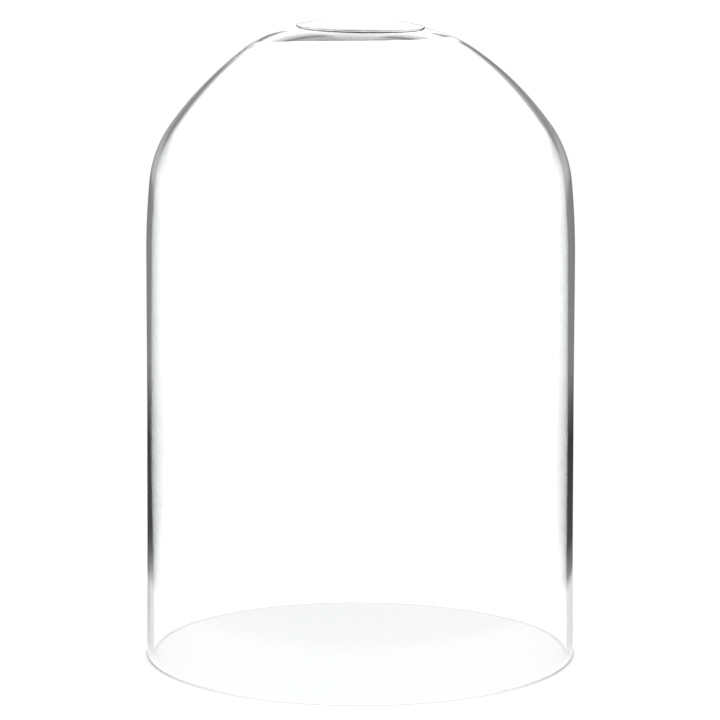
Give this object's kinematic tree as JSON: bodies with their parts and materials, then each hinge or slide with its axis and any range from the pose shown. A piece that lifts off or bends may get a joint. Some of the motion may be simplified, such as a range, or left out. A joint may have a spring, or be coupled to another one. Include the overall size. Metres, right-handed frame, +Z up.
{
  "type": "bell jar dome",
  "caption": "Clear blown-glass bell jar dome: an open-bottomed cloche with a straight wall, rounded shoulder, heavier crown disc and flat rim.",
  "frame": {"origin": "centre of the flat ring that the rim stands on", "axes": "+Z up along the dome's axis of revolution, from the open rim to the crown; X and Y are interchangeable"},
  "size_m": [0.172, 0.172, 0.2569],
  "materials": {
    "shell_glass": "clear, fire-polished",
    "crown_glass": "clear, fire-polished, thicker"
  },
  "bodies": {
    "root": {"dome_shell": "shell_glass", "crown_disc": "crown_glass"}
  },
  "joints": []
}
